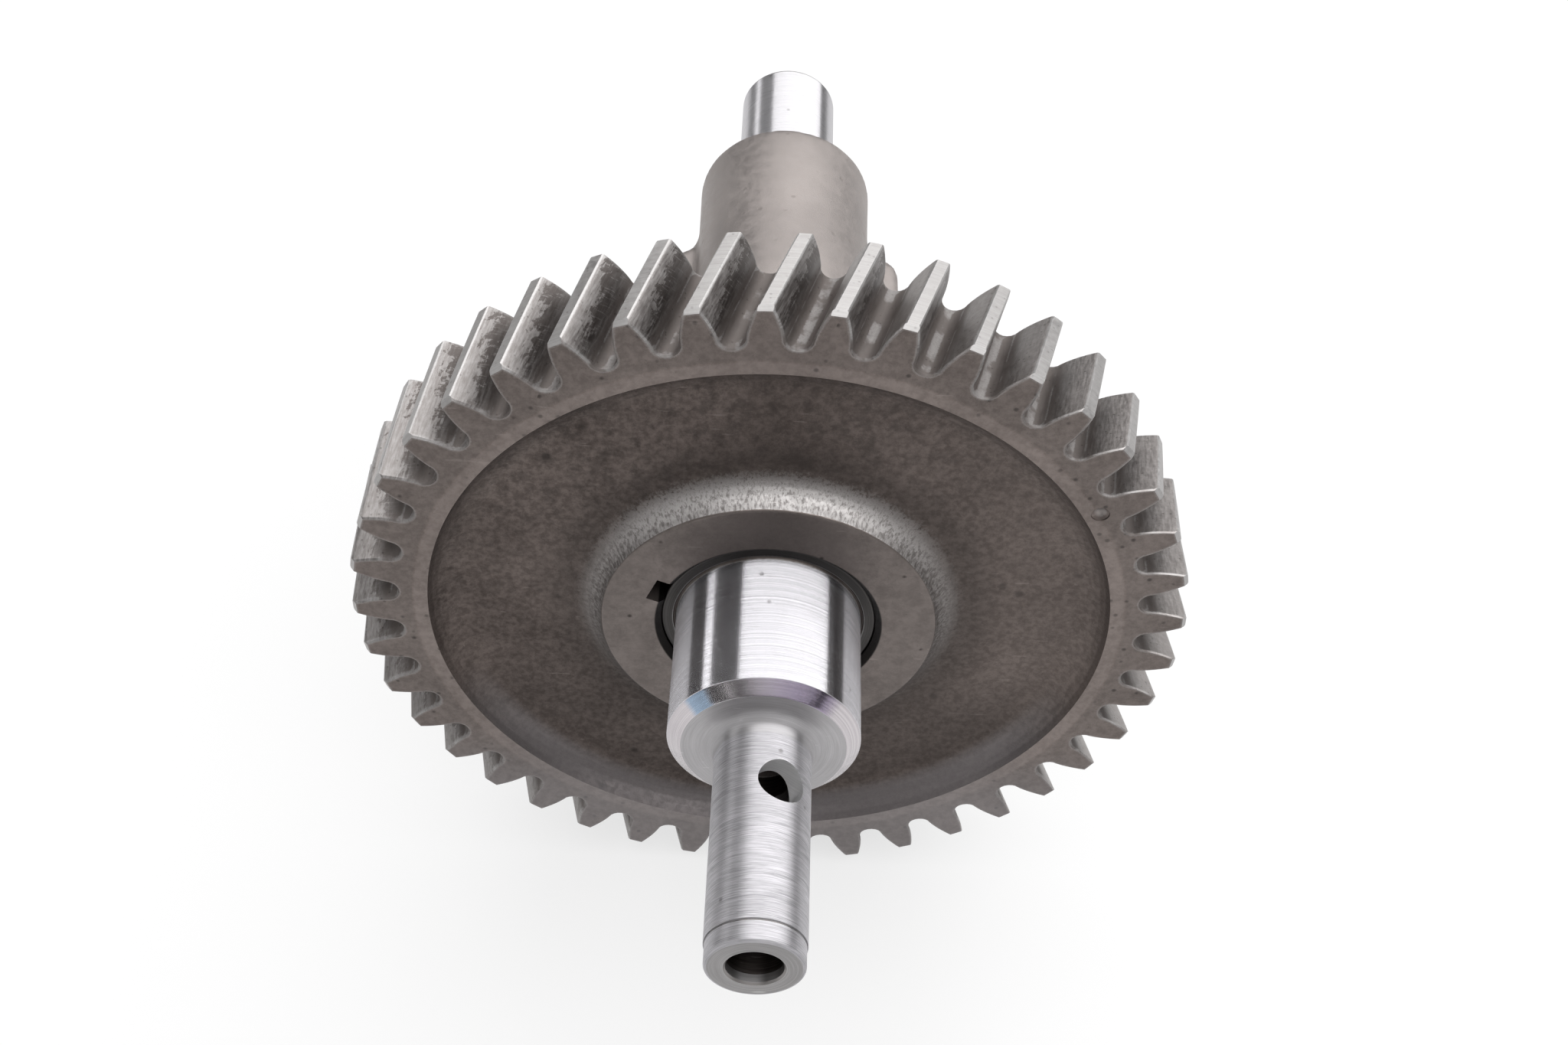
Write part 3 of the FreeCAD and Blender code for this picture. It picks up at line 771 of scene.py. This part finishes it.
def bridge(fine_row, coarse_row):
    """Flat faces between a row of many points and a row of few, on the rim's face."""
    share = COLUMNS / INNER_COLUMNS
    for at in range(INNER_COLUMNS):
        first, last = round(at * share), round((at + 1) * share)
        middle = (first + last) // 2
        near, far = coarse_row[at], coarse_row[at + 1]
        corners = [(fine_row[spot], fine_row[spot + 1], near if spot < middle else far)
                   for spot in range(first, last)]
        for corner in corners + [(fine_row[middle], far, near)]:
            slice_work.faces.new(corner)[zone_layer] = ZONES["face"]


bridge(front_ring, inner_rows[0])
bridge(rear_ring, inner_rows[-1])
bmesh.ops.recalc_face_normals(slice_work, faces=slice_work.faces)
slice_mesh = made_mesh(slice_work, "gear_slice")
outward = sum(face.normal.z * face.area for face in slice_mesh.polygons if face.center.z > TIP_R * MM * 0.99)
if outward < 0:
    slice_mesh.flip_normals()


def gear_material(name, low, high, smooth, coarse, cloud, smudge, pit, pit_share, rubbed, rub_from):
    """Steel of the gear blank: clouds, smudges, pits, scratches and rubbed edges."""
    material, tree, shader, place, edge = steel_material(name, 0.9)
    worn = worn_at(tree, place, cloud, smudge, pit, pit_share)
    rub_band = spread(tree, place["Radius"], rub_from, rub_from + 0.6, 0.0, rubbed)
    rub = times(tree, rubbed_at(tree, edge, worn, 0.5), rub_band)
    colour = blended(tree, weighed(tree, worn["Cloud"], 0.52, worn["Smudge"]), low, high)
    colour = laid(tree, colour, spread(tree, worn["Grain"], 0.40, 0.28), 0.45, grey(48, 5))
    colour = laid(tree, colour, worn["Pits"], 0.8, grey(40, 5))
    colour = laid(tree, colour, worn["Scratches"], 0.2, grey(150, 10))
    colour = blended(tree, rub, colour, grey(190, 2))
    rough = spread(tree, worn["Smudge"], 0.0, 1.0, coarse, smooth)
    hollows = plus(tree, times(tree, worn["Pits"], 1.2), times(tree, worn["Scratches"], 0.4))
    height = minus(tree, worn["Grain"], hollows)
    return material, tree, shader, place, worn, colour, rough, height


# The web keeps its forged skin and grime, with painted shade in its corners, at the top and towards the
# bottom, painted light to the right, and a painted highlight on its low blend into the rim.
# Round the hub it is scraped bright, in specks, painted stronger and brightest at the top as painted light.
forged_web, tree, shader, place, worn, colour, rough, height = gear_material(
    "forged_web", grey(62, 8), grey(100, 10), 0.46, 0.62, 18.0, 0.9, 2.4, 0.04, 0.0, 0.0)
radius, turn = place["Radius"], place["Turn"]
to_right, _along, upward = separated(tree, place["Millimetres"])
# Grime in noisy patches, painted stronger towards the top as painted shade.
grime_and_top_shade = times(tree, spread(tree, noise(tree, place["Millimetres"], 0.4, 5.0, 0.7), 0.48, 0.64),
              spread(tree, upward, -15.0, 32.0, 0.1, 0.5))
colour = blended(tree, grime_and_top_shade, colour, grey(54, 6))
# Painted light: the web is paler towards the right.
colour = laid(tree, colour, spread(tree, to_right, -10.0, 45.0), 0.3, grey(118, 10))
# Painted shade in the web's corners: along the rim at the top, and round the hub.
rim_corner_shade = times(tree, spread(tree, radius, 45.0, 45.8), spread(tree, upward, -10.0, 15.0, 0.0, 0.6))
corner = reckon(tree, "MAXIMUM", rim_corner_shade, spread(tree, radius, 33.0, 27.0))
colour = laid(tree, colour, corner, 0.4, grey(52, 5))
# Painted shade: the web is darker towards the bottom.
colour = laid(tree, colour, spread(tree, upward, -8.0, -26.0), 0.32, grey(48, 5))
# A painted highlight on the web's low blend into the rim.
low_blend_highlight = times(tree, spread(tree, radius, 41.6, 44.0), spread(tree, upward, -12.0, -30.0))
colour = laid(tree, colour, low_blend_highlight, 0.62, grey(126, 4, 3))
scrape_place = combined(tree, times(tree, reckon(tree, "COSINE", turn), 64.0), times(tree, radius, 2.2),
                        times(tree, reckon(tree, "SINE", turn), 64.0))
scrapes = noise(tree, scrape_place, 1.0, 4.0, 0.7)
reach = plus(tree, radius, times(tree, minus(tree, scrapes, 0.5), 5.0))
# The scrapes are wear, painted stronger towards the top as painted light.
scraped_and_top_lit = times(tree, spread(tree, reach, 26.6, 23.6), spread(tree, upward, -16.0, 4.0, 0.3, 1.0))
bare = blended(tree, spread(tree, scrapes, 0.40, 0.62), grey(104, 5), grey(148, 4))
bare = laid(tree, bare, worn["Pits"], 0.6, grey(70, 6))
# A painted highlight makes the scrapes brightest at the top.
scrape_top_highlight = times(tree, spread(tree, upward, 8.0, 24.0), spread(tree, scrapes, 0.36, 0.58, 0.2, 0.75))
bare = blended(tree, scrape_top_highlight, bare, grey(200, 3))
colour = blended(tree, scraped_and_top_lit, colour, bare)
rugged = times(tree, scraped_and_top_lit, spread(tree, upward, 2.0, 16.0, 0.3, 1.0))
height = plus(tree, height, times(tree, scrapes, rugged))
finish_steel(tree, shader, colour, rough, height, 0.03, 0.6)

# The rim's turned face is paler inside and darker outside, and pale again at the bottom, which is painted
# light.
turned_rim_face, tree, shader, place, worn, colour, rough, height = gear_material(
    "turned_rim_face", grey(88, 9), grey(118, 10), 0.38, 0.52, 14.0, 1.2, 1.1, 0.08, 0.25, 47.0)
outer_band = spread(tree, place["Radius"], 47.4, 48.1, -0.3, 0.3)
colour = blended(tree, reckon(tree, "MAXIMUM", outer_band, 0.0), colour, grey(84, 5))
inner_band = reckon(tree, "MAXIMUM", times(tree, outer_band, -0.8), 0.0)
colour = blended(tree, inner_band, colour, grey(134, 9))
upward = separated(tree, place["Millimetres"])[2]
# Painted light: the rim's face is paler towards the bottom.
colour = blended(tree, spread(tree, upward, -22.0, -42.0, 0.0, 0.45), colour, grey(136, 3, 3))
finish_steel(tree, shader, colour, rough, height, 0.012, 0.6)

# The hub's turned face, a little darker at the top, and the bore's edge painted dark as painted shade.
turned_hub, tree, shader, place, worn, colour, rough, height = gear_material(
    "turned_hub", grey(92, 7), grey(112, 8), 0.36, 0.48, 9.0, 1.5, 1.1, 0.02, 0.25, 0.0)
upward = separated(tree, place["Millimetres"])[2]
colour = blended(tree, spread(tree, upward, 7.0, 18.0, 0.0, 0.05), colour, grey(58, 4))
# Painted shade: the hub goes dark towards the bore's edge.
colour = blended(tree, spread(tree, place["Radius"], 15.5, 15.2), colour, grey(30, 3))
finish_steel(tree, shader, colour, rough, height, 0.005, 0.5)

# Hobbed and ground tooth flanks: streaks along the tooth, bright rubbed patches, dark oil film and painted
# shade towards the root.
tooth_flank, tree, shader, place, edge = steel_material("tooth_flank")
height_on, side_on, along_on, seed_on = [
    add_node(tree, "ShaderNodeAttribute", attribute_name=label).outputs["Fac"]
    for label in ("tooth_height", "tooth_side", "tooth_along", "tooth_seed")]
streak_place = combined(
    tree, times(tree, along_on, 7.0), times(tree, height_on, 22.0), times(tree, seed_on, 37.0))
streaks = noise(tree, streak_place, 1.0, 4.0, 0.7)
patch_place = combined(
    tree, times(tree, along_on, 9.0),
    plus(tree, times(tree, height_on, 5.0), times(tree, along_on, 3.0)), times(tree, seed_on, 91.0))
patches = noise(tree, patch_place, 1.0, 5.0, 0.7, 0.5)
scuff_place = combined(
    tree, plus(tree, times(tree, along_on, 60.0), times(tree, height_on, 9.0)),
    times(tree, height_on, 3.5), times(tree, seed_on, 53.0))
scuffs = spread(tree, noise(tree, scuff_place, 1.0, 3.0, 0.6), 0.56, 0.68)
worn = worn_at(tree, place, 5.0, 0.8, 0.5, 0.12)

# The film lies on the driving flank and is worn off from the tip down, in feathered patches.
drive = spread(tree, side_on, -0.2, 0.2, 0.08, 1.0)
feather = weighed(tree, patches, 0.75, streaks)
worn_from = plus(tree, height_on, times(tree, minus(tree, feather, 0.5), 1.6))
worn_from = minus(tree, worn_from, times(tree, minus(tree, along_on, 0.4), 0.3))
film = times(tree, spread(tree, worn_from, 0.70, 0.62), spread(tree, height_on, 0.2, 0.6, 0.1, 1.0))
film = times(tree, film, drive)
film = times(tree, film, spread(tree, plus(tree, along_on, patches), 0.35, 0.75, 0.35, 1.0))
film = times(tree, film, minus(tree, 1.0, times(tree, scuffs, 0.75)))
# low marks the tooth's lower part, which is darkened as painted shade of the root and made rougher.
low = spread(tree, height_on, 0.5, 0.25)
coast = times(tree, minus(tree, 1.0, drive), spread(tree, height_on, 0.2, 0.8, 0.0, 0.5))
colour = blended(tree, spread(tree, streaks, 0.35, 0.65), grey(120, 4), grey(152, 3))
colour = blended(tree, coast, colour, grey(180, 6))
colour = laid(tree, colour, low, 0.8, grey(98, 7))
colour = laid(tree, colour, worn["Smudge"], 0.3, grey(96, 7))
colour = laid(tree, colour, film, 0.7, grey(60, 7))
colour = laid(tree, colour, worn["Pits"], 0.5, grey(60, 6))
rub = times(tree, rubbed_at(tree, edge, worn, 0.35), spread(tree, worn["Cloud"], 0.3, 0.7, 0.02, 0.35))
colour = blended(tree, rub, colour, grey(190, 1))
rough = plus(tree, spread(tree, streaks, 0.3, 0.7, 0.40, 0.54), times(tree, low, 0.2))
height = minus(tree, streaks, times(tree, film, 0.3))
finish_steel(tree, shader, colour, rough, height, 0.010, 0.8)

# Tooth lands: turned round the blank, light grey, with fine marks across the tooth.
tooth_land, tree, shader, place, edge = steel_material("tooth_land")
lines = place_group(tree, tool_lines,
                    {"Distance": place["Along"], "Turn": times(tree, place["Turn"], 6.0),
                     "Lines Per mm": 7.0, "Patchy": 0.4})
worn = worn_at(tree, place, 6.0, 0.7, 0.6, 0.12)
colour = blended(tree, weighed(tree, lines["Lines"], 0.6, worn["Smudge"]), grey(148, 3), grey(176, 2))
colour = laid(tree, colour, worn["Pits"], 0.4, grey(96, 4))
colour = laid(tree, colour, rubbed_at(tree, edge, worn, 0.35), 0.25, grey(186, 1))
rough = spread(tree, worn["Smudge"], 0.0, 1.0, 0.4, 0.52)
finish_steel(tree, shader, colour, rough, lines["Lines"], 0.004, 0.8)

# The slice is repeated round the bore, and each copy keeps a number of its own for its wear.
gear_slots = [forged_web, turned_rim_face, tooth_flank, tooth_land, turned_hub]
repeat = bpy.data.node_groups.new("repeat_teeth", "GeometryNodeTree")
repeat.interface.new_socket("Slice", in_out="INPUT", socket_type="NodeSocketGeometry")
value_of = {}
for label, kind, value in (("Teeth", "Int", TEETH), ("First Turn", "Float", FIRST_TOOTH),
                           ("Wear Seed", "Int", 7), ("Join Distance", "Float", 3e-6)):
    socket = repeat.interface.new_socket(label, in_out="INPUT", socket_type="NodeSocket" + kind)
    socket.default_value = value
    value_of[socket.identifier] = value
repeat.interface.new_socket("Gear", in_out="OUTPUT", socket_type="NodeSocketGeometry")
given = repeat.nodes.new("NodeGroupInput").outputs
result = repeat.nodes.new("NodeGroupOutput").inputs
spots = add_node(repeat, "GeometryNodeMeshLine", {"Count": given["Teeth"], "Offset": (0, 0, 0)})
step_turn = reckon(repeat, "DIVIDE", 2 * math.pi, given["Teeth"])
number = add_node(repeat, "GeometryNodeInputIndex").outputs[0]
turn_each = add_node(repeat, "ShaderNodeMath", {0: number, 1: step_turn, 2: given["First Turn"]},
                     operation="MULTIPLY_ADD").outputs[0]
copies = add_node(repeat, "GeometryNodeInstanceOnPoints",
                  {"Points": spots.outputs["Mesh"], "Instance": given["Slice"],
                   "Rotation": combined(repeat, 0.0, turn_each, 0.0)})
chance = add_node(repeat, "FunctionNodeRandomValue", {"Seed": given["Wear Seed"]}, data_type="FLOAT")
kept = add_node(repeat, "GeometryNodeStoreNamedAttribute",
                {"Geometry": copies.outputs["Instances"], "Name": "tooth_seed", "Value": chance.outputs[1]},
                data_type="FLOAT", domain="INSTANCE")
real = add_node(repeat, "GeometryNodeRealizeInstances", {"Geometry": kept.outputs[0]})
last = add_node(repeat, "GeometryNodeMergeByDistance",
                {"Geometry": real.outputs[0], "Distance": given["Join Distance"]}).outputs[0]
zone_read = add_node(repeat, "GeometryNodeInputNamedAttribute", {"Name": "zone"}, data_type="INT")
for number_of, material in enumerate(gear_slots):
    same = add_node(repeat, "FunctionNodeCompare", {2: zone_read.outputs[0], 3: number_of},
                    data_type="INT", operation="EQUAL")
    last = add_node(repeat, "GeometryNodeSetMaterial",
                    {"Geometry": last, "Selection": same.outputs[0], "Material": material}).outputs[0]
repeat.links.new(last, result["Gear"])

gear_start = shown("gear_blank", slice_mesh)
teeth_round = gear_start.modifiers.new("teeth_round", "NODES")
teeth_round.node_group = repeat
for identifier, value in value_of.items():
    teeth_round[identifier] = value
gear_mesh = settled(gear_start)
mark_edges(gear_mesh)

# The keyway is broached through the bore, and a small test dimple is pressed in the rim's face.
GEAR_SHARP = math.radians(30)
KEY_TURN = math.radians(-67)
BROACH_AT = (0, 18.25 * MM, 15.0 * MM)
BROACH_SIZE = (4.0 * MM, 20.0 * MM, 4.0 * MM, 1)
broach = bmesh.new()
bmesh.ops.create_cube(broach, size=1.0, matrix=Matrix.Rotation(KEY_TURN, 4, "Y")
                      @ Matrix.Translation(BROACH_AT) @ Matrix.Diagonal(BROACH_SIZE))
broach_mesh = made_mesh(broach, "broach", [turned_hub])
DIMPLE_TURN = math.radians(59.7)
DIMPLE_R = 47.95
PRESS_FLOOR_R = 1.0
press_line = [(y, r, turned_rim_face)
              for y, r in ((9.0, 0.0), (9.0, 1.35), (9.95, 1.15), (10.25, 0.65), (10.35, 0.0))]
press_mesh = turned_mesh("press", press_line, 32, [turned_rim_face])
bright_rim = [1.0 if math.hypot(spot.co.x, spot.co.z) > PRESS_FLOOR_R * MM else 0.0
              for spot in press_mesh.vertices]
press_mesh.attributes.new("edge", "FLOAT", "POINT").data.foreach_set("value", bright_rim)
press_mesh.transform(Matrix.Translation(
    (DIMPLE_R * MM * math.sin(DIMPLE_TURN), 0, DIMPLE_R * MM * math.cos(DIMPLE_TURN))))
gear_piece = shown("gear_piece", gear_mesh)
tools = [shown(mesh.name, mesh) for mesh in (broach_mesh, press_mesh)]
for tool in tools:
    cut_with(gear_piece, tool, tool.name)
gear_mesh = settled(gear_piece)
for tool in tools:
    bpy.data.objects.remove(tool)
gear_mesh.shade_smooth()
gear_mesh.set_sharp_from_angle(angle=GEAR_SHARP)
gear_body = shown("gear_body", gear_mesh)
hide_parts("drive_gear")
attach(gear_body, "root")


# The key: a short bar of drawn steel that lies in the shaft's key seat, under the gear's
# keyway, and holds the gear's angle. It keeps the model's own shape.

drawn_key, tree, shader, place, edge = steel_material("drawn_key")
worn = worn_at(tree, place, 3.0, 0.4, 0.6, 0.1)
colour = blended(tree, worn["Smudge"], grey(96, 3), grey(140, 2))
rough = spread(tree, worn["Cloud"], 0.0, 1.0, 0.3, 0.45)
finish_steel(tree, shader, colour, rough, worn["Grain"], 0.006, 0.6)
key_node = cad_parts["gear_key"]
for slot in key_node.material_slots:
    slot.material = drawn_key


# The floor: pale, plain and matt. It keeps the object's shadow, and shows whiter to the camera
# and in reflections than it is lit.

FLOOR_Z = -0.0562
FLOOR_HALF = 4.0
FLOOR_TONE = 0.66
SHARE_WHITE = 0.7
floor_mesh = bpy.data.meshes.new("floor")
floor_mesh.from_pydata([(x * FLOOR_HALF, y * FLOOR_HALF, FLOOR_Z)
                        for x, y in ((-1, -1), (1, -1), (1, 1), (-1, 1))], [], [(0, 1, 2, 3)])
floor_paint = bpy.data.materials.new("floor_paint")
floor_paint.use_nodes = True
tree = floor_paint.node_tree
floor_shader = tree.nodes["Principled BSDF"]
floor_shader.inputs["Base Color"].default_value = (FLOOR_TONE, FLOOR_TONE, FLOOR_TONE, 1)
floor_shader.inputs["Roughness"].default_value = 0.9
floor_shader.inputs["Specular IOR Level"].default_value = 0.0
plain_white = add_node(tree, "ShaderNodeEmission", {"Color": (1, 1, 1, 1), "Strength": 1.0}).outputs[0]
ray = add_node(tree, "ShaderNodeLightPath").outputs
seen = reckon(tree, "MAXIMUM", reckon(tree, "MAXIMUM", ray["Is Camera Ray"], ray["Is Glossy Ray"]),
              ray["Is Transmission Ray"])
mixed = add_node(tree, "ShaderNodeMixShader",
                 {0: times(tree, seen, SHARE_WHITE), 1: floor_shader.outputs[0], 2: plain_white})
tree.links.new(mixed.outputs[0], tree.nodes["Material Output"].inputs["Surface"])
floor_mesh.materials.append(floor_paint)
floor = shown("floor", floor_mesh)


# Soft studio light: a dim sky that is darkest at the horizon, and three soft boxes, a wide one
# above, a narrow one to the left and a low one in front.

world = bpy.data.worlds.new("studio")
bpy.context.scene.world = world
world.use_nodes = True
sky = world.node_tree
direction = add_node(sky, "ShaderNodeTexCoord").outputs["Generated"]
shade = spread(sky, separated(sky, direction)[2], 0.05, 0.9, 0.03, 0.1)
sky.links.new(combined(sky, shade, shade, shade), sky.nodes["Background"].inputs["Color"])

# Each soft box has its lean to the right and to the front from straight up, its distance, its
# width and length, and its brightness.
for name, lean, forward, distance, wide, long, brightness in (
        ("box_above", 19.0, -6.0, 0.90, 2.07, 2.4, 2.6),
        ("box_left", -66.0, 0.0, 0.80, 0.13, 2.0, 2.6),
        ("box_front", 0.0, 57.0, 1.00, 0.9, 0.30, 0.7)):
    lamp_data = bpy.data.lights.new(name, "AREA")
    lamp_data.shape = "RECTANGLE"
    lamp_data.size = wide
    lamp_data.size_y = long
    lamp_data.energy = brightness * math.pi * wide * long
    lamp = shown(name, lamp_data)
    lamp.matrix_world = (Matrix.Rotation(math.radians(lean), 4, "Y")
                         @ Matrix.Rotation(math.radians(forward), 4, "X")
                         @ Matrix.Translation((0, 0, distance)))
    lamp.visible_camera = False


# The camera stands where the photograph was taken from: before the stub and above it, looking
# down along the shaft, and tilted a little to one side.

CAMERA_AT = Vector((0.0, -0.16190, 0.20127))
PITCH, YAW, ROLL = 0.8113, 0.0088, 0.0455
PICTURE_WIDE = 2048
FOCAL_PIXELS = 2552.75
SENSOR = 36
ahead = Vector((math.sin(YAW) * math.cos(PITCH), math.cos(YAW) * math.cos(PITCH), -math.sin(PITCH)))
level = ahead.cross(Vector((0, 0, 1))).normalized()
above = level.cross(ahead)
right = level * math.cos(ROLL) + above * math.sin(ROLL)
up = above * math.cos(ROLL) - level * math.sin(ROLL)
camera_data = bpy.data.cameras.new("camera")
camera_data.lens = FOCAL_PIXELS / PICTURE_WIDE * SENSOR
camera_data.sensor_width = SENSOR
camera_data.clip_start = 0.01
camera = shown("camera", camera_data)
camera.matrix_world = Matrix.Translation(CAMERA_AT) @ Matrix((right, up, -ahead)).transposed().to_4x4()
bpy.context.scene.camera = camera
bpy.context.scene.view_settings.view_transform = "Standard"
